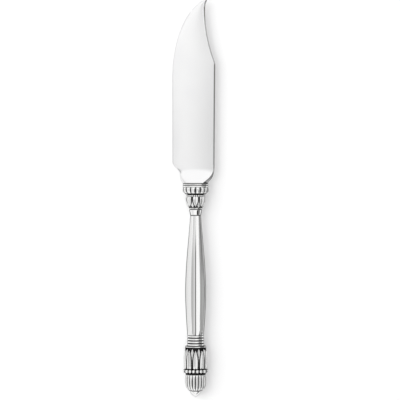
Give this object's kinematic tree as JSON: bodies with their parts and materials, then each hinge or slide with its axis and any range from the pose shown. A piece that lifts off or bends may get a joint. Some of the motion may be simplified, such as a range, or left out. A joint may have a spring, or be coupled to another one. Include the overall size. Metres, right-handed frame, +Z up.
{
  "type": "fish knife",
  "caption": "Table fish knife with a blunt notched steel blade and a hollow silver handle with flutes, beads, leaves and gadroons.",
  "frame": {"origin": "under the middle of the knife, on the surface that it lies on", "axes": "+Y along the knife towards the point, +X towards the back of the blade, +Z up from the surface"},
  "size_m": [0.0224, 0.206, 0.0085],
  "materials": {
    "steel": "polished stainless steel",
    "silver": "polished silver",
    "cast_silver": "polished cast silver, darkened in its hollows",
    "solder": "silver solder, filed flush",
    "cement": "set cutler's cement"
  },
  "bodies": {
    "root": {"blade": "steel", "mouth_plate": "silver", "collar": "cast_silver", "collar_beads": "cast_silver", "foot_band": "silver", "handle_front": "silver", "handle_back": "silver", "seam_left": "solder", "seam_right": "solder", "cement_fill": "cement", "neck_rings": "silver", "finial": "cast_silver", "finial_beads": "cast_silver", "finial_tip": "silver"}
  },
  "joints": []
}
